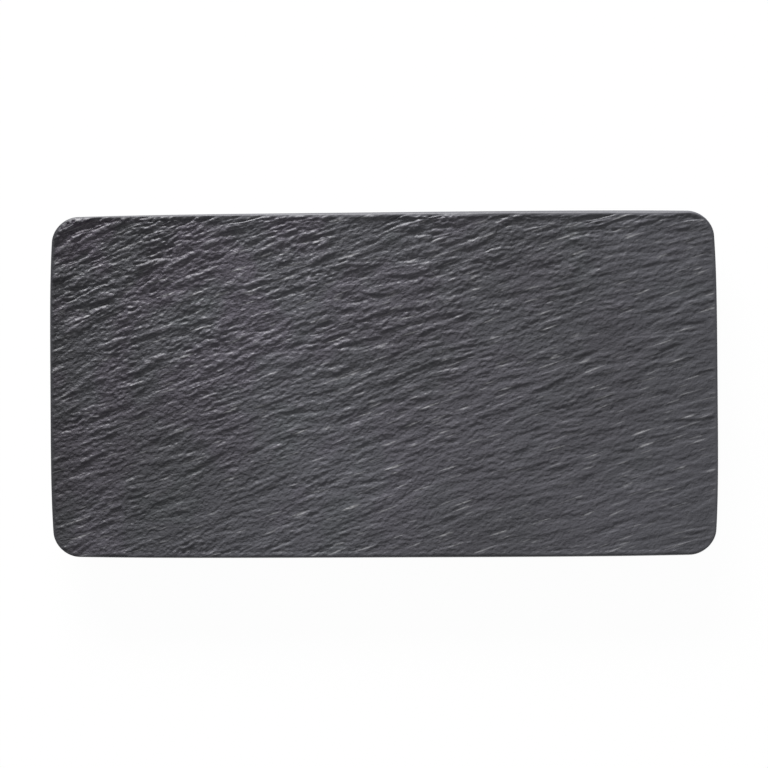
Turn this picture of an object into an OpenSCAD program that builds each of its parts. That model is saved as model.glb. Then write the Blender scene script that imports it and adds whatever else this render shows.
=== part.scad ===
// Rectangular slate-effect serving platter: one fired stoneware body with a riven top and a slightly
// upturned lip, standing on four round silicone pads. Millimetres, +Z up, the table top is z = 0.
// X runs along the platter, Y across it towards the back, and the origin is under its middle.

/* [Outline] */
// Overall length, over the bowed short sides
platter_length = 350; // [240:1:450]
// Overall width, over the bowed long sides
platter_width = 181; // [140:1:280]
// Radius of the four corners in plan
corner_radius = 13; // [12:0.5:26]
// How far the middle of each long side swells outwards
long_side_bow = 1.15; // [0:0.05:3]
// How far the middle of each short side swells outwards
short_side_bow = 2.25; // [0:0.05:3]
// How flat the bowed sides are in the middle: 2 is a parabola, and more is flatter
bow_power = 4; // [2:1:8]

/* [Body section] */
// Height of the body from its foot band to the crest of the lip
body_height = 9.6; // [8:0.1:16]
// How far the edge of the foot band stands in from the outline
foot_inset = 9; // [5:0.1:10]
// Radius that eases the lower edge of the foot band
foot_ease = 0.8; // [0.3:0.1:1.5]
// Depth of the rounded edge, from the widest line up to the crest of the lip
edge_round_depth = 3.4; // [2:0.1:5]
// Run of the rounded edge in plan at the short sides, from the outline in to the crest of the lip
edge_round_width = 0.65; // [0.5:0.05:2]
// How much wider the rounded edge grows along the back, from left to right
back_extra_width = 1.75; // [0:0.05:2]
// How much wider the rounded edge grows along the front, from left to right
front_extra_width = 0.7; // [0:0.05:2]
// Depth of the rounded underside of the edge, below the widest line
under_round_depth = 1.2; // [0.5:0.1:2]
// Run of the rounded underside of the edge in plan
under_round_width = 1.3; // [0.5:0.1:2]
// Rise of the crest of the lip above the mean level of the riven field
lip_rise = 0.25; // [0.1:0.05:1.5]
// Run of the lip's gentle inner slope at the front, from its crest in to the riven field
lip_slope = 2.6; // [2:0.1:5]
// How much longer that slope grows towards the back
back_extra_slope = 5.4; // [0:0.1:6]

/* [Riven face] */
// Direction of the cleavage lines at the middle, anticlockwise from the long side
lineation_angle = 18.8; // [5:0.1:30]
// How far the lines bend from straight over the fan's run, so that they fan from end to end
lineation_fan = 2.7; // [0:0.1:4]
// How far the lines wander from side to side
lineation_wander = 2.25; // [0:0.05:5]
// Height of the broad swells above their mean level, where they are highest
swell_height = 0.25; // [0:0.01:0.8]
// Height of the ridges that lie over the swells
ridge_height = 0.62; // [0.1:0.01:0.8]
// Distance across the lines from one swell to the next hollow
swell_pitch = 12; // [9:0.5:16]
// Distance across the lines from one ridge to the next hollow
ridge_pitch = 5; // [4:0.1:8]
// How many times longer than it is wide a swell or a ridge runs
ridge_stretch = 3.8; // [2:0.1:8]
// How far the ridges lean, which makes their back slopes steeper than their front ones
ridge_lean = 1; // [0:0.05:1.1]
// Share of the relief that is lost towards the right end
calm_right = 0.42; // [0:0.01:0.6]
// Share of the relief that is lost towards the front
calm_front = 0.62; // [0:0.01:0.7]
// Distance over which the relief grows to its full height
relief_fade = 2.6; // [1:0.1:15]
// How far outside the crest of the lip the relief starts to grow
relief_reach = 0.7; // [0:0.1:1]
// How much further in the relief starts along the short sides
side_margin = 2; // [0:0.1:4]

/* [Underside] */
// Width of the foot band along the sides, round the shallow recess
foot_band = 15; // [11:0.5:22]
// Depth of the recess inside the foot band
recess_depth = 1.5; // [0.8:0.1:2.2]
// Least wall of ceramic between a pad socket and the recess
socket_wall = 6; // [3:0.5:10]
// Depth of the round sockets that hold the pads
socket_depth = 1.4; // [0.8:0.1:2.5]

/* [Pads] */
// Diameter of a pad
pad_diameter = 14; // [8:0.5:17]
// Full thickness of a pad, socket included
pad_thickness = 3.2; // [2.8:0.1:6]
// Radius that eases the lower edge of a pad
pad_ease = 0.7; // [0.3:0.1:1.2]
// Distance from the two edges of the foot band to the middle of a pad
pad_inset = 16; // [12:0.5:22]
// Clearance all round a pad in its socket
pad_clearance = 0.15; // [0.05:0.05:0.3]

/* [Hidden] */

slate_colour = [0.30, 0.30, 0.32];
pad_colour = [0.14, 0.14, 0.15];
round_steps = 96;

// Plan of the outline: half sizes before the sides are bowed
half_length = platter_length / 2 - short_side_bow;
half_width = platter_width / 2 - long_side_bow;
core_x = half_length - corner_radius;
core_y = half_width - corner_radius;

// Heights above the table
foot_z = pad_thickness - socket_depth;
crest_z = foot_z + body_height;
widest_z = crest_z - edge_round_depth;

// Grid of the riven face: rows run along X, each corner arc takes a few rows, and its border lies
// this far inside the outline
grid_inset = 5.5;
columns = 40;
corner_rows = 6;
side_rows = 68;
rows = side_rows + 2 * corner_rows;
ring_count = 2 * (columns + rows);

// Pads and recess, set out from the edge of the foot band
pad_x = half_length - foot_inset - pad_inset;
pad_y = half_width - foot_inset - pad_inset;
socket_radius = pad_diameter / 2 + pad_clearance;
recess_x = half_length - foot_inset - foot_band;
recess_y = half_width - foot_inset - foot_band;
recess_corner = (socket_radius + socket_wall + sqrt(2) * (pad_inset - foot_band)) / (sqrt(2) - 1);
cut_margin = 1;

// Scale of the noise, and the run and width of the cleavage lines' side to side wander
noise_gain = 1.5;
wander_length = 46;
wander_width = 22;

// Which of the repeatable sets of directions the wander, the swells and the ridges use
wander_seed = 1;
swell_seed = 3;
ridge_seed = 4;

// Run over which the fan's bend is measured
fan_run = 100;

// How late the wider rounding along the long sides dies away in the last corner: more is later
growth_power = 8;

// Smooth step from 0 to 1, level and straight at both ends
function ease(t) = t <= 0 ? 0 : t >= 1 ? 1 : t * t * t * (t * (6 * t - 15) + 10);

// A repeatable direction in degrees for each point of a whole-number lattice
function lattice_turn(i, j, seed) =
    let (wave = sin(1271.7 * i + 3119.3 * j + 747.1 * seed) * 4375.85)
    360 * (wave - floor(wave));

// Slope that a lattice point gives to its neighbourhood
function lattice_pull(i, j, u, v, seed) =
    let (turn = lattice_turn(i, j, seed))
    cos(turn) * (u - i) + sin(turn) * (v - j);

// Smooth noise from about -1 to 1, blended between the slopes of the four nearest lattice points
function noise(u, v, seed) =
    let (i = floor(u), j = floor(v), a = ease(u - i), b = ease(v - j))
    noise_gain * (
        (1 - b) * ((1 - a) * lattice_pull(i, j, u, v, seed) + a * lattice_pull(i + 1, j, u, v, seed))
        + b * ((1 - a) * lattice_pull(i, j + 1, u, v, seed) + a * lattice_pull(i + 1, j + 1, u, v, seed))
    );

// One layer of ridges at a given pitch: noise drawn out along the lines and leaning towards the back by
// its own height, which is worked out from a first lean
function ridges(along, across, pitch, seed) =
    let (
        u = along / (pitch * ridge_stretch),
        v = across / pitch,
        first_lean = noise(u, v - ridge_lean * noise(u, v, seed), seed)
    )
    noise(u, v - ridge_lean * first_lean, seed);

// Height of the riven relief at a point of the plan: swells and ridges on lines that fan and wander
function relief(x, y) =
    let (
        along = x * cos(lineation_angle) + y * sin(lineation_angle),
        straight = y * cos(lineation_angle) - x * sin(lineation_angle),
        fanned = straight + lineation_fan * pow(along / fan_run, 2),
        across = fanned + lineation_wander * noise(along / wander_length, fanned / wander_width, wander_seed)
    )
    swell_height * ridges(along, across, swell_pitch, swell_seed)
    + ridge_height * ridges(along, across, ridge_pitch, ridge_seed);

// Corner angle of a row: it turns in the corner arcs and is 0 along the straight side
function row_angle(i) =
    i < corner_rows ? 90 * (i / corner_rows - 1)
    : i > rows - corner_rows ? 90 * (1 - (rows - i) / corner_rows)
    : 0;

// Height in plan of the corner centre, or of the straight side's point, that a row springs from
function row_base(i) =
    i < corner_rows ? -core_y
    : i > rows - corner_rows ? core_y
    : core_y * (2 * (i - corner_rows) / side_rows - 1);

// Swells the straight-sided plan so that all four sides bow outwards
function bowed(p) = [
    p.x + short_side_bow * p.x / half_length * (1 - pow(abs(p.y) / half_width, bow_power)),
    p.y + long_side_bow * p.y / half_width * (1 - pow(abs(p.x) / half_length, bow_power))
];

// Point of the straight-sided plan grid on the outline that lies a given distance inside the edge
function plan_point(i, j, inset) =
    let (
        arc = corner_radius - inset,
        reach = core_x + arc * cos(row_angle(i))
    )
    [reach * (2 * j / columns - 1), row_base(i) + arc * sin(row_angle(i))];

// Distance of a point of the straight-sided plan inside the outline
function edge_distance(p) =
    let (over_x = abs(p.x) - core_x, over_y = abs(p.y) - core_y)
    corner_radius - norm([max(over_x, 0), max(over_y, 0)]) - min(max(over_x, over_y), 0);

// Width of the edge's upper rounding: narrow at the short sides, growing to the right along the long
// ones and dying away in the last corner
function round_width(p) =
    let (side = p.x / half_length)
    edge_round_width
    + (p.y > 0 ? back_extra_width : front_extra_width)
    * (1 + side) / 2 * (1 - pow(abs(side), growth_power))
    * ease((abs(p.y) - core_y) / corner_radius);

// Section of the edge as [inset, z], from the foot band to just below the crest of the lip
function edge_section(width) = concat(
    [for (a = [0 : 90 : 90]) [
        foot_inset + foot_ease * (1 - sin(a)),
        foot_z + foot_ease * (1 - cos(a))
    ]],
    [for (a = [30 : 30 : 60]) [
        under_round_width * (1 - sin(a)),
        widest_z - under_round_depth * cos(a)
    ]],
    [for (a = [0 : 22.5 : 67.5]) [
        width * (1 - cos(a)),
        widest_z + edge_round_depth * sin(a)
    ]]
);

// Shares of the way from the crest of the lip in to the border of the grid, where further rings lie
lip_steps = [0, 1 / 3, 2 / 3, 1];
edge_sections = len(edge_section(edge_round_width));
sections = edge_sections + len(lip_steps);

// Border of the grid, once round from the front left corner
ring = concat(
    [for (j = [0 : columns - 1]) [0, j]],
    [for (i = [0 : rows - 1]) [i, columns]],
    [for (j = [columns : -1 : 1]) [rows, j]],
    [for (i = [rows : -1 : 1]) [i, 0]]
);

// Place of a border point in the ring
function ring_place(i, j) =
    i == 0 ? j
    : j == columns ? columns + i
    : i == rows ? 2 * columns + rows - j
    : 2 * (columns + rows) - i;

// Place of a grid point of the riven face in the body's list of points
function face_place(i, j) =
    i == 0 || i == rows || j == 0 || j == columns
    ? (sections - 1) * ring_count + ring_place(i, j)
    : sections * ring_count + (i - 1) * (columns - 1) + j - 1;

// Top of the body at a point of the straight-sided plan: the lip's inner slope plus the relief, which
// starts near the crest of the lip, further in at the short sides, and is calmer to the right and front
function top_point(p) =
    let (
        q = bowed(p),
        inside = edge_distance(p) - round_width(p),
        slope_run = lip_slope + back_extra_slope * (1 + p.y / half_width) / 2,
        margin = side_margin * ease((abs(p.x) - core_x) / corner_radius),
        right_share = 1 - calm_right * (1 + q.x / half_length) / 2,
        front_share = 1 - calm_front * (1 - q.y / half_width) / 2,
        share = ease((inside - margin + relief_reach) / relief_fade) * right_share * front_share
    )
    [q.x, q.y, crest_z - lip_rise * ease(inside / slope_run) + share * relief(q.x, q.y)];

// Outer skin of the body: rings of the edge and the lip, the riven face above and a flat base below
module body_skin() {
    edge_points = [for (s = [0 : edge_sections - 1]) for (g = ring)
        let (
            e = edge_section(round_width(plan_point(g[0], g[1], 0)))[s],
            q = bowed(plan_point(g[0], g[1], e[0]))
        )
        [q.x, q.y, e[1]]];
    lip_points = [for (t = lip_steps) for (g = ring)
        let (width = round_width(plan_point(g[0], g[1], 0)))
        top_point(plan_point(g[0], g[1], width + (grid_inset - width) * t))];
    face_points = [for (i = [1 : rows - 1]) for (j = [1 : columns - 1])
        top_point(plan_point(i, j, grid_inset))];
    base_middle = sections * ring_count + len(face_points);

    edge_faces = [for (s = [0 : sections - 2]) for (k = [0 : ring_count - 1])
        let (
            a = s * ring_count + k,
            b = s * ring_count + (k + 1) % ring_count,
            c = b + ring_count,
            d = a + ring_count
        )
        each [[a, c, b], [a, d, c]]];
    top_faces = [for (i = [0 : rows - 1]) for (j = [0 : columns - 1])
        let (
            a = face_place(i, j),
            b = face_place(i, j + 1),
            c = face_place(i + 1, j + 1),
            d = face_place(i + 1, j)
        )
        each [[a, c, b], [a, d, c]]];
    base_faces = [for (k = [0 : ring_count - 1]) [k, (k + 1) % ring_count, base_middle]];

    polyhedron(
        points = concat(edge_points, lip_points, face_points, [[0, 0, foot_z]]),
        faces = concat(edge_faces, top_faces, base_faces)
    );
}

// Shallow recess under the body, with broad corners that leave room for the pad sockets
module recess_cut() {
    translate([0, 0, foot_z - cut_margin])
        linear_extrude(recess_depth + cut_margin) {
            square([2 * recess_x, 2 * (recess_y - recess_corner)], center = true);
            square([2 * (recess_x - recess_corner), 2 * recess_y], center = true);
            for (sx = [-1, 1], sy = [-1, 1])
                translate([sx * (recess_x - recess_corner), sy * (recess_y - recess_corner)])
                    circle(recess_corner, $fn = round_steps);
        }
}

// Round socket for one pad
module socket_cut() {
    translate([0, 0, foot_z - cut_margin])
        cylinder(h = socket_depth + cut_margin, r = socket_radius, $fn = round_steps);
}

// The fired body, with its recess and four pad sockets
module platter_body() {
    color(slate_colour)
        difference() {
            body_skin();
            recess_cut();
            for (sx = [-1, 1], sy = [-1, 1])
                translate([sx * pad_x, sy * pad_y, 0])
                    socket_cut();
        }
}

// One silicone pad: a disc with an eased lower edge, standing on the table at a given corner
module foot_pad(sx, sy) {
    pad_radius = pad_diameter / 2;
    color(pad_colour)
        translate([sx * pad_x, sy * pad_y, 0])
            rotate_extrude($fn = round_steps) {
                square([pad_radius - pad_ease, pad_thickness]);
                translate([0, pad_ease])
                    square([pad_radius, pad_thickness - pad_ease]);
                intersection() {
                    translate([pad_radius - pad_ease, pad_ease])
                        circle(pad_ease, $fn = round_steps);
                    square([pad_radius, pad_thickness]);
                }
            }
}

platter_body();
foot_pad(-1, -1);  // foot_pad_front_left
foot_pad(1, -1);  // foot_pad_front_right
foot_pad(-1, 1);  // foot_pad_rear_left
foot_pad(1, 1);  // foot_pad_rear_right
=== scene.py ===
"""Slate-effect serving platter: a riven, glazed stoneware body on four silicone pads, in soft studio light.

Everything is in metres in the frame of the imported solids: X along the platter, Y across it to the back,
Z up, with the table at z = 0. Sizes that the frame doesn't give are named fields of the classes below.
"""

import logging
import math
from dataclasses import dataclass
from enum import Enum
from typing import Any

import bpy
import numpy as np
from mathutils import Matrix, Vector
from mathutils.geometry import delaunay_2d_cdt


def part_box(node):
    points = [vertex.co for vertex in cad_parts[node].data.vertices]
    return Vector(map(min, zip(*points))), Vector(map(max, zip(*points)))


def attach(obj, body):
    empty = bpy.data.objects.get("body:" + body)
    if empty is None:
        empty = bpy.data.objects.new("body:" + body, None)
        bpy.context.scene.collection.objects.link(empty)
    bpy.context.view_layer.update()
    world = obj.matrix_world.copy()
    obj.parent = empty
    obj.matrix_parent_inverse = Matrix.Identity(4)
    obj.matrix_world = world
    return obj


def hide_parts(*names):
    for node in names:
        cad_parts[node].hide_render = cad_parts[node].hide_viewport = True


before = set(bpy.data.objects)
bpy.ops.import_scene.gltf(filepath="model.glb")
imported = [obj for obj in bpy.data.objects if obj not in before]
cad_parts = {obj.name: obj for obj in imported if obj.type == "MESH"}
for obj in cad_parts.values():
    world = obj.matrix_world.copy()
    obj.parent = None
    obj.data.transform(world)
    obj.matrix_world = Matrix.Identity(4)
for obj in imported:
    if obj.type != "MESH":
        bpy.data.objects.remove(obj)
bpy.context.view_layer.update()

MM = 0.001
PHOTO_PIXELS = 768
SENSOR_WIDTH = 36.0
SHARP_ANGLE = math.radians(50)
MERGE_DISTANCE = 1e-7
WHITE = (1.0, 1.0, 1.0, 1.0)
# Level in the relief, from hollow 0 to ridge 1, of a flat place.
FLAT_LEVEL = 0.5
# Degrees for each step along U, along V and in the seed, and gain, of the sine that hashes directions.
HASH_DEGREES = (1271.7, 3119.3, 747.1)
HASH_GAIN = 4375.85

LOG = logging.getLogger("platter")

Numbers = np.ndarray
Colour = tuple[float, float, float, float]
Span = tuple[float, float]


class Corner(Enum):
    """The four corners that carry a pad, as signs along X and Y."""

    FRONT_LEFT = (-1, -1)
    FRONT_RIGHT = (1, -1)
    REAR_LEFT = (-1, 1)
    REAR_RIGHT = (1, 1)

    @property
    def node(self) -> str:
        """Name of the pad's node in the frame."""
        return f"foot_pad_{self.name.lower()}"


def ease(t: Numbers) -> Numbers:
    """Smooth step from 0 to 1, level and straight at both ends: 6t^5 - 15t^4 + 10t^3."""
    t = np.clip(t, 0.0, 1.0)
    return t**3 * (t * (6 * t - 15) + 10)


def lattice_pull(i: Numbers, j: Numbers, u: Numbers, v: Numbers, seed: int) -> Numbers:
    """Slope that a lattice point gives to its neighbourhood.

    Each whole-number point has a direction, hashed from a sine, and its pull is the distance along it.

    Args:
        i, j: the lattice point.
        u, v: the place where the pull is felt.
        seed: which of the repeatable sets of directions to use.

    Returns:
        The pull at each place.
    """
    per_i, per_j, per_seed = HASH_DEGREES
    wave = np.sin(np.radians(per_i * i + per_j * j + per_seed * seed)) * HASH_GAIN
    turn = 2 * math.pi * (wave - np.floor(wave))
    return np.cos(turn) * (u - i) + np.sin(turn) * (v - j)


def noise(u: Numbers, v: Numbers, seed: int, gain: float = 1.5) -> Numbers:
    """Gradient noise from about -1 to 1: the pulls of the four nearest lattice points, blended smoothly.

    Args:
        u, v: places in lattice units.
        seed: which of the repeatable sets of directions to use.
        gain: scale of the result.

    Returns:
        The noise at each place.
    """
    i, j = np.floor(u), np.floor(v)
    a, b = ease(u - i), ease(v - j)
    near = (1 - a) * lattice_pull(i, j, u, v, seed) + a * lattice_pull(i + 1, j, u, v, seed)
    far = (1 - a) * lattice_pull(i, j + 1, u, v, seed) + a * lattice_pull(i + 1, j + 1, u, v, seed)
    return gain * ((1 - b) * near + b * far)


@dataclass(frozen=True)
class RidgeLayer:
    """One layer of ridges on the riven face. Lengths are in millimetres.

    Attributes:
        pitch: distance across the lines from a ridge to the next hollow.
        height: height of its ridges.
        stretch: how many times longer than wide a ridge runs.
        lean: how far the ridges lean towards the back.
        seed: which set of noise directions it uses.
        patchiness: how much the layer's height varies from patch to patch.
        bare_below: patch noise below which the layer is missing, so that only scattered ridges are left.
        cover_fade: span of patch noise above that in which the layer comes in.
        patch_length, patch_width: size of the patches along and across the lines.
        patch_seed_step: how far the seed of the patches lies from that of the ridges.
        lean_steps: how many times the lean is worked out again from the leaning height.
    """

    pitch: float
    height: float
    stretch: float
    lean: float
    seed: int
    patchiness: float = 0.0
    bare_below: float = -2.0
    cover_fade: float = 0.3
    patch_length: float = 34.0
    patch_width: float = 12.0
    patch_seed_step: int = 20
    lean_steps: int = 2

    def surface(self, along: Numbers, across: Numbers) -> Numbers:
        """Height of the layer: noise drawn out along the lines, shifted across them by its own height.

        Args:
            along, across: places along and across the cleavage lines, in millimetres.

        Returns:
            Heights in millimetres.
        """
        u, v = along / (self.pitch * self.stretch), across / self.pitch
        ridges = noise(u, v, self.seed)
        for _ in range(self.lean_steps):
            ridges = noise(u, v - self.lean * ridges, self.seed)
        patch_u, patch_v = along / self.patch_length + self.seed, across / self.patch_width - self.seed
        patches = noise(patch_u, patch_v, self.seed + self.patch_seed_step)
        cover = ease((patches - self.bare_below) / self.cover_fade)
        return self.height * ridges * cover * (1 + self.patchiness * patches)


@dataclass(frozen=True)
class Calm:
    """Shares of a relief that are lost at the right end and at the front."""

    right: float
    front: float

    def share(self, side: Numbers, depth: Numbers) -> Numbers:
        """Share that is left, falling evenly each way, for places from -1 to 1 along X and Y."""
        return (1 - self.right * (1 + side) / 2) * (1 - self.front * (1 - depth) / 2)


@dataclass(frozen=True)
class RivenFace:
    """Relief of the riven top: leaning ridges on cleavage lines that fan and wander.

    Lengths are in millimetres. The main layers are those of the solid, the fine ones and the scattered
    scars lie over them, and the grain is finer than the mesh.
    """

    lineation: float = 18.8
    fan: float = 2.7
    fan_run: float = 100.0
    wander: float = 2.25
    wander_length: float = 46.0
    wander_width: float = 22.0
    wander_seed: int = 1
    fine_wander: float = 0.28
    fine_wander_length: float = 15.0
    fine_wander_width: float = 8.0
    fine_wander_seed: int = 2
    main_calm: Calm = Calm(right=0.42, front=0.62)
    fine_calm: Calm = Calm(right=0.65, front=0.64)
    grain_calm: Calm = Calm(right=0.72, front=0.38)
    tone_size: float = 90.0
    tone_seed: int = 57
    # Painted shade that darkens the glaze towards the left and the right ends.
    left_shade: float = 0.5
    left_run: float = 24.0
    right_shade: float = 0.12
    right_run: float = 80.0
    main_layers: tuple[RidgeLayer, ...] = (
        RidgeLayer(pitch=12.0, height=0.25, stretch=3.8, lean=1.0, seed=3),
        RidgeLayer(pitch=5.0, height=0.62, stretch=3.8, lean=1.0, seed=4),
    )
    fine_layers: tuple[RidgeLayer, ...] = (
        RidgeLayer(pitch=2.6, height=0.51, stretch=4.4, lean=0.34, seed=5, patchiness=0.88),
        RidgeLayer(pitch=1.6, height=0.45, stretch=1.75, lean=0.34, seed=6, patchiness=0.88),
    )
    scars: RidgeLayer = RidgeLayer(
        pitch=4.0,
        height=0.30,
        stretch=6.0,
        lean=0.45,
        seed=8,
        bare_below=0.35,
        patch_length=24.0,
        patch_width=8.0,
        lean_steps=4,
    )

    def lines(self, x: Numbers, y: Numbers) -> tuple[Numbers, Numbers]:
        """Places along and across the cleavage lines, which bend as a parabola and wander as noise.

        Args:
            x, y: places in plan, in millimetres.

        Returns:
            The distances along and across the lines.
        """
        turn = math.radians(self.lineation)
        along = x * math.cos(turn) + y * math.sin(turn)
        across = y * math.cos(turn) - x * math.sin(turn)
        across = across + self.fan * (along / self.fan_run) ** 2
        bend = noise(along / self.wander_length, across / self.wander_width, self.wander_seed)
        return along, across + self.wander * bend

    def height(
        self, x: Numbers, y: Numbers, half_length: float, half_width: float
    ) -> tuple[Numbers, Numbers]:
        """Relief as the sum of the main layers, and of the fine ones, each calmed, with the scars.

        Args:
            x, y: places in plan, in millimetres.
            half_length, half_width: half sizes of the plan, in millimetres.

        Returns:
            Heights of the main and of the fine relief, in millimetres.
        """
        along, across = self.lines(x, y)
        side, depth = x / half_length, y / half_width
        main = sum(layer.surface(along, across) for layer in self.main_layers)
        bend = noise(along / self.fine_wander_length, across / self.fine_wander_width, self.fine_wander_seed)
        across = across + self.fine_wander * bend
        fine = sum(layer.surface(along, across) for layer in self.fine_layers)
        scars = self.scars.surface(along, across)
        return main * self.main_calm.share(side, depth), fine * self.fine_calm.share(side, depth) + scars

    def tone(self, points: Numbers, half_length: float) -> Numbers:
        """Broad cloud of paler and darker glaze, from about 0 to 1: noise over the plan, with painted shade
        at both ends.

        Args:
            points: places, N by 3, in millimetres.
            half_length: half the length of the plan, in millimetres.

        Returns:
            The tone of each place, with the painted shade at both ends.
        """
        cloud = noise(points[:, 0] / self.tone_size, points[:, 1] / self.tone_size, self.tone_seed)
        # Painted shade at both ends.
        left = self.left_shade * ease(1 - (half_length + points[:, 0]) / self.left_run)
        right = self.right_shade * ease(1 - (half_length - points[:, 0]) / self.right_run)
        return 0.5 + 0.5 * cloud - left - right


@dataclass(frozen=True)
class PlatterPlan:
    """Plan of the platter: a rounded rectangle whose sides bow outwards, and the grid laid over it.

    Half sizes are those before the bow. Rows run along X, and each corner arc takes some of them.
    """

    half_length: float
    half_width: float
    corner_radius: float = 13 * MM
    long_bow: float = 1.15 * MM
    short_bow: float = 2.25 * MM
    bow_power: int = 4
    columns: int = 236
    corner_rows: int = 34
    side_rows: int = 266

    @property
    def rows(self) -> int:
        """Number of rows of cells, from front to back."""
        return self.side_rows + 2 * self.corner_rows

    @property
    def core_x(self) -> float:
        """Half length up to the centres of the corner arcs."""
        return self.half_length - self.corner_radius

    @property
    def core_y(self) -> float:
        """Half width up to the centres of the corner arcs."""
        return self.half_width - self.corner_radius

    def bowed(self, x: Numbers, y: Numbers) -> tuple[Numbers, Numbers]:
        """Swells the plan: each side moves out by its bow times one minus a power of the way along it.

        Args:
            x, y: places in the straight-sided plan.

        Returns:
            The same places in the bowed plan.
        """
        side, depth = x / self.half_length, y / self.half_width
        wide_x = x + self.short_bow * side * (1 - depth**self.bow_power)
        wide_y = y + self.long_bow * depth * (1 - side**self.bow_power)
        return wide_x, wide_y

    def grid(self, inset: float) -> tuple[Numbers, Numbers]:
        """Grid inside the outline that lies a distance inside the edge, before the bow.

        A row's ends lie on the corner arcs or the straight sides, and its points are spread evenly between.

        Args:
            inset: distance inside the outline.

        Returns:
            X and Y of the points, as rows by columns.
        """
        steps = np.linspace(0.0, math.pi / 2, self.corner_rows + 1)
        straight = np.linspace(-1.0, 1.0, self.side_rows + 1)
        turn = np.concatenate([steps[:-1] - math.pi / 2, 0 * straight, steps[1:]])
        spring = np.concatenate([0 * steps[:-1] - 1, straight, 0 * steps[1:] + 1])
        arc = self.corner_radius - inset
        reach = self.core_x + arc * np.cos(turn)
        depth = spring * self.core_y + arc * np.sin(turn)
        across = np.linspace(-1.0, 1.0, self.columns + 1)
        return np.outer(reach, across), np.outer(depth, np.ones_like(across))

    def border(self) -> tuple[Numbers, Numbers]:
        """Row and column of each border point, once round anticlockwise from the front left corner."""
        row, column = np.arange(self.rows), np.arange(self.columns)
        rows = np.concatenate([0 * column, row, 0 * column + self.rows, row[::-1] + 1])
        columns = np.concatenate([column, 0 * row + self.columns, column[::-1] + 1, 0 * row])
        return rows, columns

    def outline(self) -> tuple[Numbers, Numbers, Numbers, Numbers]:
        """Outline before the bow, with a unit step outwards from each of its points.

        Returns:
            X and Y of the border points, and X and Y of the steps.
        """
        x, y = (part[self.border()] for part in self.grid(0.0))
        out_x = (x - np.clip(x, -self.core_x, self.core_x)) / self.corner_radius
        out_y = (y - np.clip(y, -self.core_y, self.core_y)) / self.corner_radius
        return x, y, out_x, out_y

    def edge_distance(self, x: Numbers, y: Numbers) -> Numbers:
        """Distance inside the straight-sided outline, taken round the arcs in the corners.

        Args:
            x, y: places in the straight-sided plan.

        Returns:
            The distance at each place.
        """
        over_x, over_y = np.abs(x) - self.core_x, np.abs(y) - self.core_y
        beyond = np.hypot(np.maximum(over_x, 0), np.maximum(over_y, 0))
        return self.corner_radius - beyond - np.minimum(np.maximum(over_x, over_y), 0)


class Skin:
    """Collects points and triangles of one closed mesh."""

    def __init__(self) -> None:
        """Starts with no points and no triangles."""
        self.points: list[Numbers] = []
        self.faces: list[Numbers] = []
        self.count = 0

    def add_points(self, points: Numbers) -> Numbers:
        """Adds points, N by 3, and returns their places in the mesh."""
        self.points.append(points)
        self.count += len(points)
        return np.arange(self.count - len(points), self.count)

    def add_faces(self, a: Numbers, b: Numbers, c: Numbers) -> None:
        """Adds triangles whose corners run anticlockwise seen from outside."""
        self.faces.append(np.stack([np.ravel(a), np.ravel(b), np.ravel(c)], axis=1))

    def band(self, lower: Numbers, upper: Numbers) -> None:
        """Joins two rings of as many points, each run anticlockwise from above, with the outside outwards."""
        lower_next, upper_next = np.roll(lower, -1), np.roll(upper, -1)
        self.add_faces(lower, lower_next, upper_next)
        self.add_faces(lower, upper_next, upper)

    def cap(self, ring: Numbers, middle: Numbers, upward: bool) -> None:
        """Closes a ring with a fan of triangles round a middle point.

        Args:
            ring: places of the ring's points, anticlockwise from above.
            middle: the middle point.
            upward: whether the fan faces up.
        """
        hub = np.full(len(ring), self.add_points(middle[None, :])[0])
        after = np.roll(ring, -1)
        if upward:
            self.add_faces(ring, after, hub)
        else:
            self.add_faces(after, ring, hub)

    def mesh(self, name: str) -> bpy.types.Mesh:
        """Makes the mesh, smooth but for its sharp edges.

        Args:
            name: the mesh's name.

        Returns:
            The new mesh.
        """
        points, faces = np.concatenate(self.points), np.concatenate(self.faces)
        mesh = bpy.data.meshes.new(name)
        mesh.vertices.add(len(points))
        mesh.vertices.foreach_set("co", points.astype(np.float32).ravel())
        mesh.loops.add(faces.size)
        mesh.loops.foreach_set("vertex_index", faces.astype(np.int32).ravel())
        mesh.polygons.add(len(faces))
        mesh.polygons.foreach_set("loop_start", np.arange(0, faces.size, 3, dtype=np.int32))
        mesh.update(calc_edges=True)
        mesh.validate()
        mesh.shade_smooth()
        mesh.set_sharp_from_angle(angle=SHARP_ANGLE)
        return mesh


def circle(radius: float, centre: tuple[float, float], steps: int) -> tuple[Numbers, Numbers]:
    """X and Y of points evenly round a circle, anticlockwise."""
    turn = np.linspace(0.0, 2 * math.pi, steps, endpoint=False)
    return centre[0] + radius * np.cos(turn), centre[1] + radius * np.sin(turn)


def rounded_rectangle(half_x: float, half_y: float, radius: float, arc_steps: int) -> tuple[Numbers, Numbers]:
    """Outline of a rounded rectangle: four quarter circles, joined by straight sides.

    Args:
        half_x, half_y: half sizes.
        radius: radius of the corners.
        arc_steps: steps in each corner.

    Returns:
        X and Y of the points, anticlockwise from the right side.
    """
    quarter = np.linspace(0.0, math.pi / 2, arc_steps + 1)
    turn = np.concatenate([quarter + k * math.pi / 2 for k in range(4)])
    sign_x = np.repeat([1, -1, -1, 1], arc_steps + 1)
    sign_y = np.repeat([1, 1, -1, -1], arc_steps + 1)
    return (
        sign_x * (half_x - radius) + radius * np.cos(turn),
        sign_y * (half_y - radius) + radius * np.sin(turn),
    )


def upright(x: Numbers, y: Numbers, z: float | Numbers) -> Numbers:
    """Stacks X, Y and Z into points, N by 3, with one height for all if Z is a number."""
    return np.stack([np.ravel(x), np.ravel(y), np.ravel(np.broadcast_to(z, np.shape(x)))], axis=1)


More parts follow.
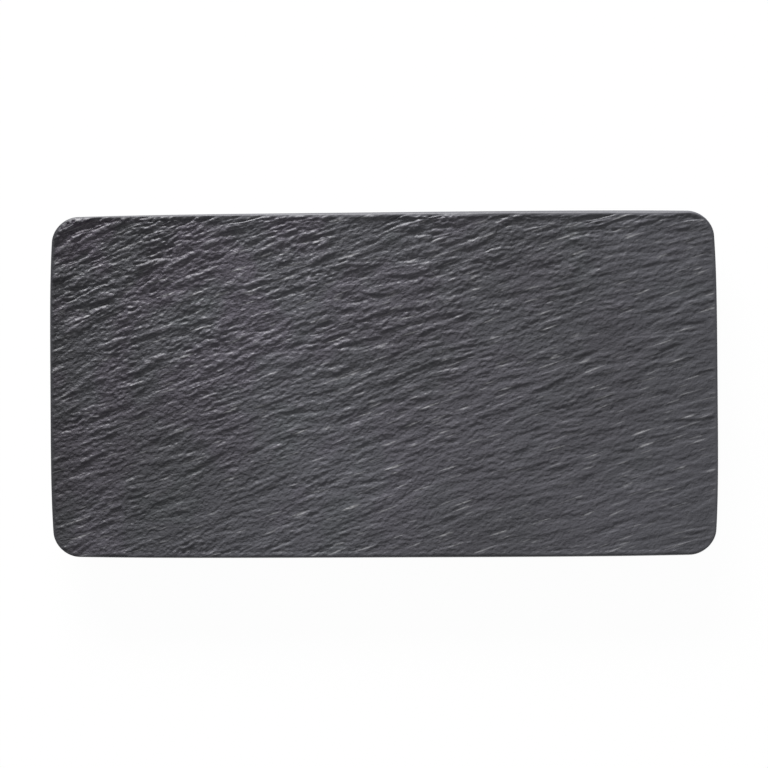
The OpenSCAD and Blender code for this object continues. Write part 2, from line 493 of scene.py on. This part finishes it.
class Wire:
    """A shader value that can be used in Python sums, each of which adds a Math node."""

    def __init__(self, bench: "Bench", socket: bpy.types.NodeSocket) -> None:
        """Keeps the socket and the bench that new nodes go on."""
        self.bench = bench
        self.socket = socket

    def _math(self, operation: str, first: Any, second: Any) -> "Wire":
        """Adds a Math node with two inputs and returns its result."""
        made = self.bench.node("ShaderNodeMath", {"operation": operation}, {0: first, 1: second})
        return self.bench.wire(made, 0)

    def __add__(self, other: Any) -> "Wire":
        """This plus other."""
        return self._math("ADD", self, other)

    def __radd__(self, other: Any) -> "Wire":
        """Other plus this."""
        return self._math("ADD", other, self)

    def __sub__(self, other: Any) -> "Wire":
        """This minus other."""
        return self._math("SUBTRACT", self, other)

    def __rsub__(self, other: Any) -> "Wire":
        """Other minus this."""
        return self._math("SUBTRACT", other, self)

    def __mul__(self, other: Any) -> "Wire":
        """This times other."""
        return self._math("MULTIPLY", self, other)

    def __rmul__(self, other: Any) -> "Wire":
        """Other times this."""
        return self._math("MULTIPLY", other, self)


class Bench:
    """A material's node tree, on which finishes lay their nodes."""

    def __init__(self, name: str) -> None:
        """Starts a new material with an empty tree and its output."""
        self.material = bpy.data.materials.new(name)
        self.material.use_nodes = True
        self.tree = self.material.node_tree
        self.tree.nodes.clear()
        self.output = self.tree.nodes.new("ShaderNodeOutputMaterial")

    def node(
        self,
        kind: str,
        settings: dict[str, Any] | None = None,
        sockets: dict[str | int, Any] | None = None,
    ) -> bpy.types.Node:
        """Adds a node, sets its settings and then fills or links its inputs.

        Args:
            kind: the node's type.
            settings: properties to set first.
            sockets: input names or numbers, with a value or a Wire for each.

        Returns:
            The new node.
        """
        made = self.tree.nodes.new(kind)
        for key, value in (settings or {}).items():
            setattr(made, key, value)
        for key, value in (sockets or {}).items():
            if isinstance(value, Wire):
                self.tree.links.new(value.socket, made.inputs[key])
            else:
                made.inputs[key].default_value = value
        return made

    def wire(self, node: bpy.types.Node, output: str | int) -> Wire:
        """Wraps one of a node's outputs."""
        return Wire(self, node.outputs[output])

    def object_place(self) -> Wire:
        """Place on the object, in metres."""
        return self.wire(self.node("ShaderNodeTexCoord"), "Object")

    def grain(self, size: float, detail: float, place: Wire) -> Wire:
        """Noise from 0 to 1 with features of about the given size in metres.

        Args:
            size: size of the features.
            detail: how many finer layers it has.
            place: where it is read.

        Returns:
            The noise.
        """
        sockets = {"Vector": place, "Scale": 1 / size, "Detail": detail}
        return self.wire(self.node("ShaderNodeTexNoise", {"noise_dimensions": "3D"}, sockets), "Fac")

    def turned(self, place: Wire, angle: float, stretch: float) -> Wire:
        """Turns the pattern about Z by an angle, and stretches it along its own X.

        Args:
            place: where the pattern is read.
            angle: turn in radians.
            stretch: how many times longer it becomes.

        Returns:
            The new place.
        """
        sockets = {"Vector": place, "Rotation": (0.0, 0.0, angle), "Scale": (stretch, 1.0, 1.0)}
        return self.wire(self.node("ShaderNodeMapping", {"vector_type": "TEXTURE"}, sockets), "Vector")

    def attribute(self, name: str) -> Wire:
        """A value stored on the mesh's points."""
        return self.wire(self.node("ShaderNodeAttribute", {"attribute_name": name}), "Fac")

    def spread(self, value: Wire, low: float, high: float) -> Wire:
        """Stretches the part of a value between low and high over 0 to 1, smoothly, and clips the rest."""
        settings = {"interpolation_type": "SMOOTHSTEP"}
        return self.wire(
            self.node("ShaderNodeMapRange", settings, {"Value": value, "From Min": low, "From Max": high}),
            "Result",
        )

    def mix(self, share: Wire | float, first: Any, second: Any, blend: str = "MIX") -> Wire:
        """Mixes two colours by a share."""
        settings = {"data_type": "RGBA", "blend_type": blend}
        made = self.node("ShaderNodeMix", settings, {"Factor": share})
        for name, value in (("A", first), ("B", second)):
            socket = next(s for s in made.inputs if s.name == name and s.type == "RGBA")
            if isinstance(value, Wire):
                self.tree.links.new(value.socket, socket)
            else:
                socket.default_value = value
        return Wire(self, next(s for s in made.outputs if s.type == "RGBA"))

    def plain_surface(
        self, colour: Wire, roughness: Wire, refraction: float, height: Wire, depth: float, strength: float
    ) -> bpy.types.Material:
        """Finishes the material as one plain surface with a fine bump.

        Args:
            colour, roughness: how it looks.
            refraction: its index of refraction.
            height: the bump, in shares of the depth.
            depth: the bump's depth in metres.
            strength: how much of the bump shows.

        Returns:
            The material.
        """
        bump = self.node("ShaderNodeBump", None, {"Height": height, "Distance": depth, "Strength": strength})
        normal = self.wire(bump, "Normal")
        sockets = {"Base Color": colour, "Roughness": roughness, "IOR": refraction, "Normal": normal}
        return self.finish(self.wire(self.node("ShaderNodeBsdfPrincipled", None, sockets), "BSDF"))

    def finish(self, shader: Wire) -> bpy.types.Material:
        """Links the shader to the output and returns the material."""
        self.tree.links.new(shader.socket, self.output.inputs["Surface"])
        return self.material


@dataclass(frozen=True)
class SlateGlaze:
    """Matt anthracite glaze: cool grey with greenish and purplish patches and pale streaks, with painted
    highlights on ridges, painted glints in thin scattered streaks and painted shade in hollows.

    A span is the part of a noise or of a stored value, from 0 to 1, over which a paint comes in.
    """

    lineation: float
    blue_grey: Colour = (0.0548, 0.0548, 0.0648, 1.0)
    purple_grey: Colour = (0.0645, 0.0525, 0.0740, 1.0)
    green_grey: Colour = (0.0515, 0.0560, 0.0620, 1.0)
    # Pale grey of the painted highlights on ridges, also laid on the pale streaks.
    streak_and_ridge_highlight_grey: Colour = (0.127, 0.122, 0.142, 1.0)
    # Dark grey of the painted shade in hollows.
    hollow_shade_grey: Colour = (0.044, 0.044, 0.051, 1.0)
    # Pale grey of the painted glints.
    glint_grey: Colour = (0.280, 0.278, 0.290, 1.0)
    patch_size: float = 38 * MM
    pore_size: float = 0.8 * MM
    streak_size: float = 1.6 * MM
    streak_stretch: float = 4.0
    bead_size: float = 1.8 * MM
    bead_stretch: float = 1.3
    # Size and stretch of the thin streaks that carry the painted glints.
    glint_size: float = 1.4 * MM
    glint_stretch: float = 10.0
    purple_span: Span = (0.46, 0.58)
    green_span: Span = (0.40, 0.32)
    # Span and share of the painted highlights on ridges.
    ridge_highlight_span: Span = (0.6, 1.0)
    ridge_highlight_paint: float = 0.9
    # Span and share of the painted shade in hollows.
    hollow_shade_span: Span = (0.5, 0.0)
    hollow_shade_paint: float = 0.3
    streak_span: Span = (0.55, 0.8)
    streak_paint: float = 0.25
    # Span of the noise that carries the painted glints, which lie only on the field.
    glint_span: Span = (0.66, 0.94)
    field_span: Span = (0.0, 0.15)
    # How far the tone, with its painted shade at the ends, moves the colour.
    tone_range: float = 0.35
    base_roughness: float = 0.48
    streak_roughness: float = 0.12
    pore_roughness: float = 0.06
    ridge_polish: float = 0.05
    streak_bump: float = 0.2
    bead_bump: float = 1.35
    pore_bump: float = 0.2
    rim_bump: float = 0.08
    bump_depth: float = 0.9 * MM
    bump_strength: float = 0.8
    refraction: float = 1.5

    def material(self) -> bpy.types.Material:
        """Builds the glaze from place, relief, share of the grain and tone with its painted shade.

        The paints, among them painted highlights on ridges, painted shade in hollows and painted glints, are
        laid over each other in turn, and the tone scales the result. The bump is streaks, beads and pores by
        the share of the grain, with a trace of the pores all over.

        Returns:
            The material.
        """
        bench = Bench("slate_glaze")
        place, turn = bench.object_place(), math.radians(self.lineation)
        relief, riven, tone = (bench.attribute(name) for name in ("relief", "riven", "tone"))
        patches = bench.grain(self.patch_size, detail=2.0, place=place)
        pores = bench.grain(self.pore_size, detail=2.0, place=place)
        streaks = bench.grain(
            self.streak_size, detail=3.0, place=bench.turned(place, turn, self.streak_stretch)
        )
        beads = bench.grain(self.bead_size, detail=1.0, place=bench.turned(place, turn, self.bead_stretch))
        # Noise that places the painted glints.
        glints = bench.grain(self.glint_size, detail=0.0, place=bench.turned(place, turn, self.glint_stretch))

        paints = (
            (bench.spread(patches, *self.purple_span) * riven * riven, self.purple_grey),
            (bench.spread(patches, *self.green_span) * riven, self.green_grey),
            # Painted highlights on ridges, from the stored relief level.
            (bench.spread(relief, *self.ridge_highlight_span) * self.ridge_highlight_paint, self.streak_and_ridge_highlight_grey),
            # Painted shade in hollows, from the stored relief level.
            (bench.spread(relief, *self.hollow_shade_span) * self.hollow_shade_paint, self.hollow_shade_grey),
            (bench.spread(streaks, *self.streak_span) * riven * self.streak_paint, self.streak_and_ridge_highlight_grey),
            # Painted glints in thin scattered streaks over the field.
            (bench.spread(glints, *self.glint_span) * bench.spread(riven, *self.field_span), self.glint_grey),
        )
        colour: Colour | Wire = self.blue_grey
        for share, paint in paints:
            colour = bench.mix(share, colour, paint)
        # The tone, with its painted shade at both ends, scales the colour.
        colour = bench.mix(1.0, colour, 1 - self.tone_range + tone * (2 * self.tone_range), "MULTIPLY")

        worn = streaks * self.streak_roughness + pores * self.pore_roughness
        roughness = self.base_roughness + worn - relief * self.ridge_polish
        grain = streaks * self.streak_bump + beads * self.bead_bump + pores * self.pore_bump
        height = grain * riven + pores * self.rim_bump
        return bench.plain_surface(
            colour, roughness, self.refraction, height, self.bump_depth, self.bump_strength
        )


@dataclass(frozen=True)
class PadSilicone:
    """Matt moulded silicone, near black, with a faint bloom and fine mould grain."""

    deep: Colour = (0.020, 0.020, 0.022, 1.0)
    bloom: Colour = (0.045, 0.045, 0.047, 1.0)
    bloom_size: float = 3 * MM
    bloom_span: Span = (0.35, 0.75)
    bloom_paint: float = 0.6
    grain_size: float = 0.25 * MM
    base_roughness: float = 0.6
    bloom_roughness: float = 0.15
    bump_depth: float = 0.03 * MM
    bump_strength: float = 0.6
    refraction: float = 1.41

    def material(self) -> bpy.types.Material:
        """Builds the silicone from place alone.

        Returns:
            The material.
        """
        bench = Bench("pad_silicone")
        place = bench.object_place()
        bloom = bench.spread(bench.grain(self.bloom_size, detail=3.0, place=place), *self.bloom_span)
        grain = bench.grain(self.grain_size, detail=2.0, place=place)
        colour = bench.mix(bloom * self.bloom_paint, self.deep, self.bloom)
        roughness = self.base_roughness + bloom * self.bloom_roughness
        return bench.plain_surface(
            colour, roughness, self.refraction, grain, self.bump_depth, self.bump_strength
        )


@dataclass(frozen=True)
class FloorPaint:
    """Pale floor that the camera sees as white, with a soft share of the shadow on it."""

    pale: Colour = (0.70, 0.70, 0.70, 1.0)
    glow: float = 0.968
    shadow_paint: Colour = (0.04, 0.04, 0.04, 1.0)

    def material(self) -> bpy.types.Material:
        """Builds the paint: plain for the light that bounces, and near white for the camera and in shine.

        Returns:
            The material.
        """
        bench = Bench("floor_paint")
        path = bench.node("ShaderNodeLightPath")
        camera, mirrored, through = (
            bench.wire(path, name) for name in ("Is Camera Ray", "Is Glossy Ray", "Is Transmission Ray")
        )
        plain = bench.node("ShaderNodeBsdfDiffuse", None, {"Color": self.pale})
        shade = bench.node("ShaderNodeBsdfDiffuse", None, {"Color": self.shadow_paint})
        glow = bench.node("ShaderNodeEmission", None, {"Strength": self.glow})
        seen = bench.node(
            "ShaderNodeAddShader", None, {0: bench.wire(shade, "BSDF"), 1: bench.wire(glow, "Emission")}
        )
        mixed = bench.node(
            "ShaderNodeMixShader",
            None,
            {0: camera + mirrored + through, 1: bench.wire(plain, "BSDF"), 2: bench.wire(seen, "Shader")},
        )
        return bench.finish(bench.wire(mixed, "Shader"))


def place_piece(mesh: bpy.types.Mesh, material: bpy.types.Material, node: str) -> bpy.types.Object:
    """Puts a finished mesh in the scene in place of a node of the frame.

    Args:
        mesh: the mesh, with its place in its points.
        material: its finish.
        node: the node that it stands for.

    Returns:
        The new piece.
    """
    mesh.materials.append(material)
    piece = bpy.data.objects.new(f"{node}_finished", mesh)
    bpy.context.scene.collection.objects.link(piece)
    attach(piece, "root")
    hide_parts(node)
    return piece


@dataclass
class PlatterBody:
    """The fired body: riven face, upturned lip, rounded edge, tapered underside, foot band and recess."""

    plan: PlatterPlan
    face: RivenFace
    foot_z: float
    body_height: float = 9.6 * MM
    foot_inset: float = 9 * MM
    foot_ease: float = 0.8 * MM
    edge_round_depth: float = 3.4 * MM
    edge_round_width: float = 0.65 * MM
    back_extra_width: float = 1.75 * MM
    front_extra_width: float = 0.7 * MM
    growth_power: int = 8
    under_round_depth: float = 1.2 * MM
    under_round_width: float = 1.3 * MM
    lip_rise: float = 0.25 * MM
    lip_slope: float = 2.6 * MM
    back_left_rise: float = 0.16 * MM
    field_inset: float = 2.9 * MM
    relief_reach: float = 0.7 * MM
    relief_fade: float = 2.6 * MM
    side_margin: float = 0.5 * MM
    lip_steps: tuple[float, ...] = (0.0, 0.06, 0.25, 0.5, 0.75, 1.0)
    # Share of the main relief in the stored level, which places the painted highlights and shade and the
    # polish.
    main_paint: float = 0.5
    foot_points: int = 3
    under_points: int = 4
    over_points: int = 7
    foot_band: float = 15 * MM
    recess_depth: float = 1.5 * MM
    recess_ease: float = 0.5 * MM
    socket_wall: float = 6 * MM
    socket_depth: float = 1.4 * MM
    socket_radius: float = 7.15 * MM
    socket_ease: float = 0.2 * MM
    socket_steps: int = 64
    recess_arc_steps: int = 24
    recess_bend_points: int = 4

    @classmethod
    def from_frame(cls) -> "PlatterBody":
        """Takes the body's outer sizes from its node in the frame."""
        low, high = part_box("platter_body")
        plan = PlatterPlan(
            half_length=(high.x - low.x) / 2 - PlatterPlan.short_bow,
            half_width=(high.y - low.y) / 2 - PlatterPlan.long_bow,
        )
        return cls(plan=plan, face=RivenFace(), foot_z=low.z)

    @property
    def crest_z(self) -> float:
        """Height of the lip's crest above the table."""
        return self.foot_z + self.body_height

    def round_width(self, x: Numbers, y: Numbers) -> Numbers:
        """Width of the edge's upper rounding: narrow at the ends, and wider along the back and the front.

        Along both long sides it grows evenly to the right and dies away in the last corner.

        Args:
            x, y: places in the straight-sided plan.

        Returns:
            The width at each place.
        """
        side = x / self.plan.half_length
        growth = (1 + side) / 2 * (1 - side**self.growth_power)
        reach = (np.abs(y) - self.plan.core_y) / self.plan.corner_radius
        extra = np.where(y > 0, self.back_extra_width, self.front_extra_width)
        return self.edge_round_width + extra * growth * ease(reach)

    def edge_section(self, width: Numbers) -> tuple[Numbers, Numbers]:
        """Section of the edge from the foot band to just below the crest of the lip.

        It is a quarter circle at the foot, a straight taper, and quarter ellipses below and above the
        widest line.

        Args:
            width: width of the upper rounding at each border point.

        Returns:
            Distances inside the outline, and heights, as stations by border points.
        """
        foot = np.linspace(0.0, math.pi / 2, self.foot_points)[:, None]
        under = np.linspace(0.0, math.pi / 2, self.under_points)[1:-1, None]
        over = np.linspace(0.0, math.pi / 2, self.over_points)[:-1, None]
        widest_z = self.crest_z - self.edge_round_depth
        level = np.ones_like(width)
        inset = np.concatenate([
            (self.foot_inset + self.foot_ease * (1 - np.sin(foot))) * level,
            self.under_round_width * (1 - np.sin(under)) * level,
            (1 - np.cos(over)) * width,
        ])
        height = np.concatenate([
            self.foot_z + self.foot_ease * (1 - np.cos(foot)),
            widest_z - self.under_round_depth * np.cos(under),
            widest_z + self.edge_round_depth * np.sin(over),
        ])
        return inset, height * level

    def top(self, x: Numbers, y: Numbers) -> tuple[Numbers, Numbers, Numbers]:
        """Top of the body from the crest of the lip inwards: the lip's gentle inner slope plus the relief.

        The lip stands highest above the field at the back left.

        Args:
            x, y: places in the straight-sided plan.

        Returns:
            Heights, the level of each place in the relief from hollow 0 to ridge 1, and the share of the
            grain.
        """
        wide_x, wide_y = self.plan.bowed(x, y)
        half_length, half_width = self.plan.half_length / MM, self.plan.half_width / MM
        main, fine = self.face.height(wide_x / MM, wide_y / MM, half_length, half_width)
        inside = self.plan.edge_distance(x, y) - self.round_width(x, y)
        margin = self.side_margin * ease((np.abs(x) - self.plan.core_x) / self.plan.corner_radius)
        share = ease((inside - margin + self.relief_reach) / self.relief_fade)
        side, depth = x / self.plan.half_length, y / self.plan.half_width
        rise = self.lip_rise + self.back_left_rise * (1 - side) / 2 * (1 + depth) / 2
        lip = self.crest_z - rise * ease(inside / self.lip_slope)
        level = np.clip(FLAT_LEVEL + (self.main_paint * main + fine) * share, 0, 1)
        return lip + (main + fine) * share * MM, level, share * self.face.grain_calm.share(side, depth)

    def build(self) -> bpy.types.Mesh:
        """Makes the body's closed mesh, with its relief, share of the grain and tone with painted shade
        stored on the points.

        Returns:
            The mesh.
        """
        skin = Skin()
        x, y, out_x, out_y = self.plan.outline()
        width = self.round_width(x, y)
        levels: list[Numbers] = []
        shares: list[Numbers] = []
        rings: list[Numbers] = []
        for inset, z in zip(*self.edge_section(width)):
            rings.append(skin.add_points(upright(*self.plan.bowed(x - inset * out_x, y - inset * out_y), z)))
            levels.append(np.full(len(x), FLAT_LEVEL))
            shares.append(np.zeros(len(x)))
        for step in self.lip_steps:
            inset = width + (self.field_inset - width) * step
            inner_x, inner_y = x - inset * out_x, y - inset * out_y
            z, level, share = self.top(inner_x, inner_y)
            rings.append(skin.add_points(upright(*self.plan.bowed(inner_x, inner_y), z)))
            levels.append(level)
            shares.append(share)
        for lower, upper in zip(rings, rings[1:]):
            skin.band(lower, upper)

        x, y = self.plan.grid(self.field_inset)
        z, level, share = self.top(x, y)
        inside = (slice(1, -1), slice(1, -1))
        places = np.zeros(x.shape, dtype=np.int64)
        wide_x, wide_y = self.plan.bowed(x, y)
        fresh = skin.add_points(upright(wide_x[inside], wide_y[inside], z[inside]))
        places[inside] = fresh.reshape(places[inside].shape)
        places[self.plan.border()] = rings[-1]
        skin.add_faces(places[:-1, :-1], places[:-1, 1:], places[1:, 1:])
        skin.add_faces(places[:-1, :-1], places[1:, 1:], places[1:, :-1])
        levels.append(np.ravel(level[inside]))
        shares.append(np.ravel(share[inside]))

        self._underside(skin, rings[0])
        mesh = skin.mesh("platter_body_finished")
        spare = skin.count - sum(len(part) for part in levels)
        self._store(mesh, "relief", np.concatenate([*levels, np.full(spare, FLAT_LEVEL)]))
        self._store(mesh, "riven", np.concatenate([*shares, np.zeros(spare)]))
        points = np.concatenate(skin.points)
        # Stores the tone with its painted shade at both ends.
        self._store(mesh, "tone", self.face.tone(points / MM, self.plan.half_length / MM))
        return mesh

    @staticmethod
    def _store(mesh: bpy.types.Mesh, name: str, values: Numbers) -> None:
        """Stores one value on each point of a mesh."""
        attribute = mesh.attributes.new(name, "FLOAT", "POINT")
        attribute.data.foreach_set("value", values.astype(np.float32))

    def _underside(self, skin: Skin, foot_ring: Numbers) -> None:
        """Adds the foot band, the recess inside it and the four pad sockets.

        The recess and the sockets are short profiles carried round their outlines, and the flat band
        between those outlines is a constrained triangulation.

        Args:
            skin: the mesh so far.
            foot_ring: places of the foot band's outer ring.
        """
        recess_x = self.plan.half_length - self.foot_inset - self.foot_band
        recess_y = self.plan.half_width - self.foot_inset - self.foot_band
        pads = [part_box(corner.node) for corner in Corner]
        centres = [((low.x + high.x) / 2, (low.y + high.y) / 2) for low, high in pads]
        reach = self.plan.half_length - self.foot_inset - max(x for x, _ in centres) - self.foot_band
        root = math.sqrt(2)
        radius = (self.socket_radius + self.socket_wall + root * reach) / (root - 1)

        ceiling = self.foot_z + self.recess_depth
        bend = np.linspace(0.0, math.pi / 2, self.recess_bend_points)
        offsets = self.recess_ease * np.concatenate([1 - np.sin(bend), np.cos(bend) - 1])
        depths = np.concatenate([
            self.foot_z + self.recess_ease * (1 - np.cos(bend)),
            ceiling - self.recess_ease * (1 - np.sin(bend)),
        ])
        holes = [[
            skin.add_points(upright(
                *rounded_rectangle(recess_x + out, recess_y + out, radius + out, self.recess_arc_steps), z
            ))
            for out, z in zip(offsets, depths)
        ]]
        tops = [np.array([0.0, 0.0, ceiling])]
        for centre in centres:
            radii = (self.socket_radius + self.socket_ease, self.socket_radius, self.socket_radius)
            levels = (self.foot_z, self.foot_z + self.socket_ease, self.foot_z + self.socket_depth)
            holes.append([
                skin.add_points(upright(*circle(size, centre, self.socket_steps), z))
                for size, z in zip(radii, levels)
            ])
            tops.append(np.array([*centre, levels[-1]]))
        for hole, top in zip(holes, tops):
            for lower, upper in zip(hole, hole[1:]):
                skin.band(lower[::-1], upper[::-1])
            skin.cap(hole[-1], top, upward=False)
        self._foot_band(skin, foot_ring, [hole[0] for hole in holes])

    @staticmethod
    def _foot_band(skin: Skin, outer: Numbers, holes: list[Numbers]) -> None:
        """Fills the flat band between the outer ring and the holes, facing down.

        Args:
            skin: the mesh so far.
            outer: places of the outer ring.
            holes: places of each hole's ring.
        """
        points = np.concatenate(skin.points)
        rings = [outer, *holes]
        places = np.concatenate(rings)
        starts = np.cumsum([0] + [len(ring) for ring in rings])
        edges = np.concatenate([
            np.stack([np.arange(a, b), np.roll(np.arange(a, b), -1)], axis=1)
            for a, b in zip(starts, starts[1:])
        ])
        flat = [Vector(point) for point in points[places, :2]]
        _, _, triangles, sources, _, _ = delaunay_2d_cdt(flat, edges.tolist(), [], 0, MERGE_DISTANCE)
        source = np.array([origin[0] for origin in sources])
        corners = source[np.array(triangles)]
        ring_of = np.searchsorted(starts, corners, side="right") - 1
        in_one_hole = (ring_of == ring_of[:, :1]).all(axis=1) & (ring_of[:, 0] > 0)
        kept = places[corners[~in_one_hole]]
        span = points[kept][:, 1:, :2] - points[kept][:, :1, :2]
        anticlockwise = span[:, 0, 0] * span[:, 1, 1] - span[:, 0, 1] * span[:, 1, 0] > 0
        kept[anticlockwise] = kept[anticlockwise][:, ::-1]
        skin.add_faces(kept[:, 0], kept[:, 1], kept[:, 2])

    def dress(self) -> bpy.types.Object:
        """Builds the body, glazes it and puts it in the frame."""
        glaze = SlateGlaze(lineation=self.face.lineation).material()
        return place_piece(self.build(), glaze, "platter_body")


@dataclass
class FootPad:
    """One silicone pad: a disc with an eased lower edge and a lightly eased upper one."""

    corner: Corner
    lower_ease: float = 0.7 * MM
    upper_ease: float = 0.15 * MM
    steps: int = 72
    bend_points: int = 7

    def build(self) -> bpy.types.Mesh:
        """Turns the pad's section, with quarter circles at both edges, about its own upright axis.

        Returns:
            The mesh.
        """
        low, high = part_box(self.corner.node)
        centre = ((low.x + high.x) / 2, (low.y + high.y) / 2)
        radius = (high.x - low.x) / 2
        bend = np.linspace(0.0, math.pi / 2, self.bend_points)
        radii = np.concatenate([
            radius - self.lower_ease * (1 - np.sin(bend)),
            radius - self.upper_ease * (1 - np.cos(bend)),
        ])
        heights = np.concatenate([
            low.z + self.lower_ease * (1 - np.cos(bend)),
            high.z - self.upper_ease * (1 - np.sin(bend)),
        ])
        skin = Skin()
        rings = [
            skin.add_points(upright(*circle(size, centre, self.steps), z)) for size, z in zip(radii, heights)
        ]
        for lower, upper in zip(rings, rings[1:]):
            skin.band(lower, upper)
        skin.cap(rings[0], np.array([*centre, low.z]), upward=False)
        skin.cap(rings[-1], np.array([*centre, high.z]), upward=True)
        return skin.mesh(f"{self.corner.node}_finished")

    def dress(self, silicone: bpy.types.Material) -> bpy.types.Object:
        """Builds the pad in the given silicone and puts it in the frame."""
        return place_piece(self.build(), silicone, self.corner.node)


@dataclass(frozen=True)
class AreaLamp:
    """A rectangular soft lamp that points at the middle of the platter.

    Attributes:
        name: its name.
        azimuth: where it stands, in degrees anticlockwise from the right.
        elevation: how high it stands, in degrees.
        distance: how far away it is.
        width, height: its size.
        power: its power in watts.
    """

    name: str
    azimuth: float
    elevation: float
    distance: float
    width: float
    height: float
    power: float

    def place(self) -> bpy.types.Object:
        """Puts the lamp in the scene.

        Returns:
            The lamp.
        """
        turn, lift = math.radians(self.azimuth), math.radians(self.elevation)
        spot = self.distance * Vector(
            (math.cos(lift) * math.cos(turn), math.cos(lift) * math.sin(turn), math.sin(lift))
        )
        data = bpy.data.lights.new(self.name, "AREA")
        data.shape = "RECTANGLE"
        data.size, data.size_y, data.energy = self.width, self.height, self.power
        lamp = bpy.data.objects.new(self.name, data)
        lamp.location = spot
        lamp.rotation_euler = spot.to_track_quat("Z", "Y").to_euler()
        bpy.context.scene.collection.objects.link(lamp)
        return lamp


@dataclass
class Studio:
    """White floor, even sky, soft lamps, and the camera almost straight above the platter.

    The camera's turns are those that carry the platter's frame into the camera's, in degrees.
    """

    floor_size: float = 24.0
    sky_light: float = 0.19
    camera_distance: float = 1.2
    camera_target: tuple[float, float, float] = (1.12 * MM, 0.40 * MM, 8 * MM)
    camera_turns: tuple[float, float, float] = (-0.496, -2.710, 0.409)
    camera_reach: float = 20.0
    pixels_per_metre: float = 1907.0
    lamps: tuple[AreaLamp, ...] = (
        AreaLamp("back_lamp", azimuth=104, elevation=11.6, distance=8.0, width=5.6, height=1.0, power=1660),
        AreaLamp("top_lamp", azimuth=178, elevation=84, distance=2.2, width=0.5, height=0.5, power=8.7),
    )

    def lay_floor(self) -> bpy.types.Object:
        """Lays the floor under the pads."""
        half = self.floor_size / 2
        corners = [(-half, -half, 0), (half, -half, 0), (half, half, 0), (-half, half, 0)]
        mesh = bpy.data.meshes.new("floor")
        mesh.from_pydata(corners, [], [(0, 1, 2, 3)])
        mesh.materials.append(FloorPaint().material())
        floor = bpy.data.objects.new("floor", mesh)
        bpy.context.scene.collection.objects.link(floor)
        return floor

    def hang_sky(self) -> None:
        """Lights the scene evenly and plainly from all round."""
        world = bpy.data.worlds.new("sky")
        bpy.context.scene.world = world
        world.use_nodes = True
        tree = world.node_tree
        tree.nodes.clear()
        even, output = tree.nodes.new("ShaderNodeBackground"), tree.nodes.new("ShaderNodeOutputWorld")
        even.inputs["Color"].default_value = WHITE
        even.inputs["Strength"].default_value = self.sky_light
        tree.links.new(even.outputs["Background"], output.inputs["Surface"])

    def set_camera(self) -> bpy.types.Object:
        """Sets the camera where the photograph was taken from.

        Returns:
            The camera.
        """
        tilt, lean, roll = (math.radians(-turn) for turn in self.camera_turns)
        turned = Matrix.Rotation(tilt, 4, "X") @ Matrix.Rotation(lean, 4, "Y") @ Matrix.Rotation(roll, 4, "Z")
        data = bpy.data.cameras.new("camera")
        data.sensor_width = SENSOR_WIDTH
        data.lens = SENSOR_WIDTH * self.pixels_per_metre * self.camera_distance / PHOTO_PIXELS
        data.clip_end = self.camera_reach
        camera = bpy.data.objects.new("camera", data)
        away = turned @ Vector((0.0, 0.0, self.camera_distance))
        camera.matrix_world = Matrix.Translation(Vector(self.camera_target) + away) @ turned
        bpy.context.scene.collection.objects.link(camera)
        bpy.context.scene.camera = camera
        return camera

    def light(self) -> None:
        """Sets up the camera, the floor, the sky and the lamps."""
        bpy.context.scene.view_settings.view_transform = "Standard"
        self.set_camera()
        self.lay_floor()
        self.hang_sky()
        for lamp in self.lamps:
            lamp.place()


def write_sizes() -> None:
    """Brings the scene's placements up to date."""
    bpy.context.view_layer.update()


def main() -> None:
    """Builds the studio, the body and the pads in order, and reports each piece."""
    logging.basicConfig(level=logging.INFO, format="%(name)s: %(message)s")
    Studio().light()
    pieces = [PlatterBody.from_frame().dress()]
    silicone = PadSilicone().material()
    pieces.extend(FootPad(corner).dress(silicone) for corner in Corner)
    for piece in pieces:
        LOG.info("%s: %d triangles", piece.name, len(piece.data.polygons))
    write_sizes()


if __name__ == "__main__":
    main()
